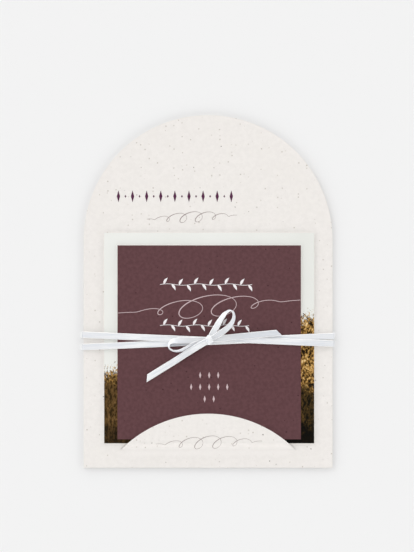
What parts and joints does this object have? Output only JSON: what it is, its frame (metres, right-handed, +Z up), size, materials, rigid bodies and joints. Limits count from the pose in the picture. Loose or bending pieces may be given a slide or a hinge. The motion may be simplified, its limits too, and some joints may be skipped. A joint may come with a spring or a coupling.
{
  "type": "wedding invitation",
  "caption": "Arch-topped card with a curved slit whose flap holds a square picture card and a text card, tied round with a narrow satin ribbon in a bow.",
  "frame": {"origin": "middle of the bounding box in X and Y, on the table under the ribbon's back turns", "axes": "+X across the card, +Y from its straight lower edge to the arch, +Z up out of the printed front"},
  "size_m": [0.122, 0.17, 0.0055],
  "materials": {
    "recycled_card": "matte",
    "picture_print": "satin",
    "burgundy_card": "matte",
    "white_satin": "satin"
  },
  "bodies": {
    "root": {"arch_card": "recycled_card", "picture_card": "picture_print", "text_card": "burgundy_card", "satin_ribbon": "white_satin"}
  },
  "joints": []
}
